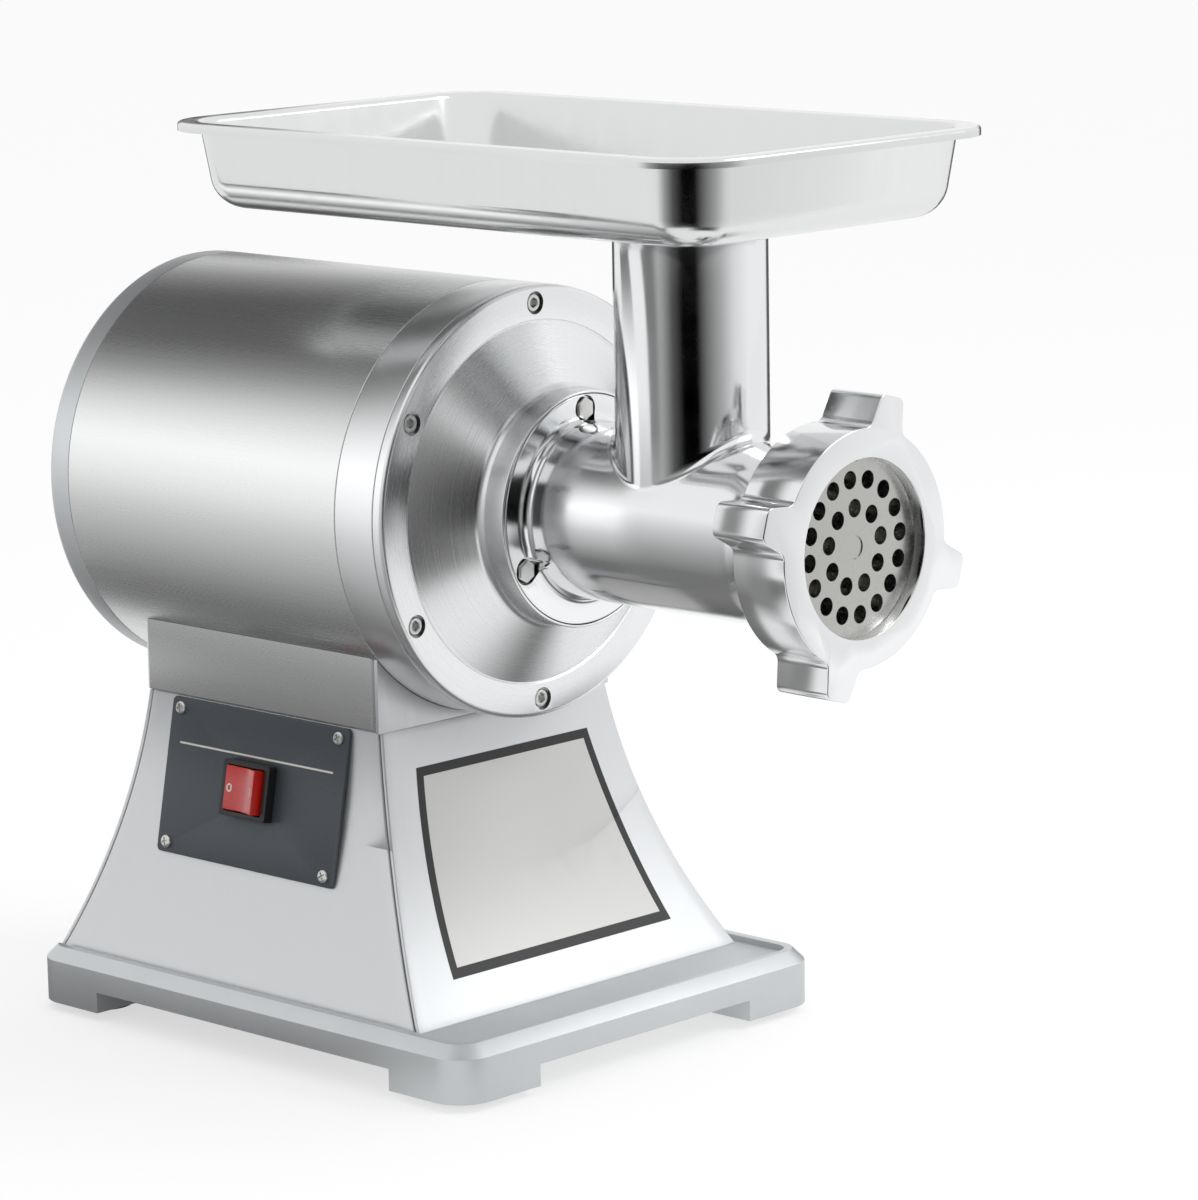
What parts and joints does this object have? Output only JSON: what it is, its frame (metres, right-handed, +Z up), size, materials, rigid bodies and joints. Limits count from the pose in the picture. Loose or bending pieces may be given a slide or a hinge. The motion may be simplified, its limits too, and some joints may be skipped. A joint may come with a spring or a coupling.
{
  "type": "electric meat grinder",
  "caption": "Bench meat grinder: horizontal motor drum on a flared pedestal, bolted grinding head with hopper neck, meat tray, screwed ring and plate.",
  "frame": {"origin": "middle of the footprint box, on the table under the rubber feet", "axes": "+Z up, the outlet faces -Y, the switch faces -X"},
  "size_m": [0.236, 0.4214, 0.4225],
  "materials": {
    "polished_stainless": "polished",
    "satin_stainless": "satin",
    "tray_stainless": "satin",
    "cast_aluminium": "matt",
    "machined_aluminium": "satin",
    "painted_sheet": "satin",
    "label_foil": "satin",
    "tool_steel": "ground",
    "gear_steel": "hardened",
    "bright_fastener": "plated",
    "slate_plate": "satin",
    "red_rocker": "gloss",
    "black_plastic": "moulded",
    "black_rubber": "matt",
    "white_nylon": "moulded",
    "copper_winding": "varnished",
    "electrical_steel": "laminated"
  },
  "bodies": {
    "machine": {"base_casting": "cast_aluminium", "rubber_feet": "black_rubber", "foot_screws": "bright_fastener", "bottom_cover": "painted_sheet", "bottom_cover_screws": "bright_fastener", "front_panel": "painted_sheet", "rear_panel": "painted_sheet", "left_panel": "painted_sheet", "right_panel": "painted_sheet", "saddle": "painted_sheet", "saddle_screws": "bright_fastener", "cable_gland": "black_plastic", "drum_shell": "satin_stainless", "rear_cap": "cast_aluminium", "rear_cap_screws": "bright_fastener", "gearbox_housing": "machined_aluminium", "front_cover": "machined_aluminium", "cover_screws": "bright_fastener", "head_body": "polished_stainless", "head_bolts": "bright_fastener", "plate_key": "bright_fastener", "spindle_bearings": "gear_steel", "oil_seal": "black_rubber", "countershaft_bearings": "gear_steel", "motor_bearings": "gear_steel", "stator_core": "electrical_steel", "stator_windings": "copper_winding", "rear_end_shield": "cast_aluminium", "switch_plate": "slate_plate", "switch_plate_screws": "bright_fastener", "switch_body": "black_plastic", "start_capacitor": "white_nylon", "capacitor_clip": "cast_aluminium", "terminal_block": "white_nylon"},
    "auger": {"worm": "tool_steel", "knife": "tool_steel", "thrust_washer": "white_nylon", "output_spindle": "gear_steel", "output_gear": "gear_steel"},
    "countershaft": {"countershaft": "gear_steel", "countershaft_wheel": "gear_steel"},
    "rotor": {"rotor": "electrical_steel", "motor_pinion": "gear_steel", "cooling_fan": "black_plastic"},
    "plate": {"grinding_plate": "tool_steel"},
    "ring": {"ring_nut": "polished_stainless"},
    "tray": {"tray": "tray_stainless"},
    "rocker": {"rocker": "red_rocker"}
  },
  "joints": [
    {"name": "auger_spin", "type": "hinge", "parent": "machine", "child": "auger", "pos_m": [0, -0.1, 0.25], "axis": [0, 1, 0], "continuous": true},
    {"name": "countershaft_spin", "type": "hinge", "parent": "machine", "child": "countershaft", "pos_m": [0, 0.03, 0.2065], "axis": [0, 1, 0], "continuous": true},
    {"name": "rotor_spin", "type": "hinge", "parent": "machine", "child": "rotor", "pos_m": [0, 0.1, 0.25], "axis": [0, 1, 0], "continuous": true},
    {"name": "plate_slide", "type": "slide", "parent": "machine", "child": "plate", "axis": [0, -1, 0], "range_m": [0, 0.02]},
    {"name": "ring_turn", "type": "hinge", "parent": "plate", "child": "ring", "pos_m": [0, -0.2, 0.25], "axis": [0, -1, 0], "range_deg": [0, 1800]},
    {"name": "tray_lift", "type": "slide", "parent": "machine", "child": "tray", "axis": [0, 0, 1], "range_m": [0, 0.05]},
    {"name": "rocker_tilt", "type": "hinge", "parent": "machine", "child": "rocker", "pos_m": [-0.08058, 0.0928, 0.11492], "axis": [0.1916, 0, 0.9815], "range_deg": [0, 18]}
  ],
  "couplings": [
    {"joint": "countershaft_spin", "follows": "auger_spin", "ratio": -2.8667},
    {"joint": "rotor_spin", "follows": "auger_spin", "ratio": 8.2178},
    {"joint": "plate_slide", "follows": "ring_turn", "m_per_rad": 0.0006366}
  ]
}
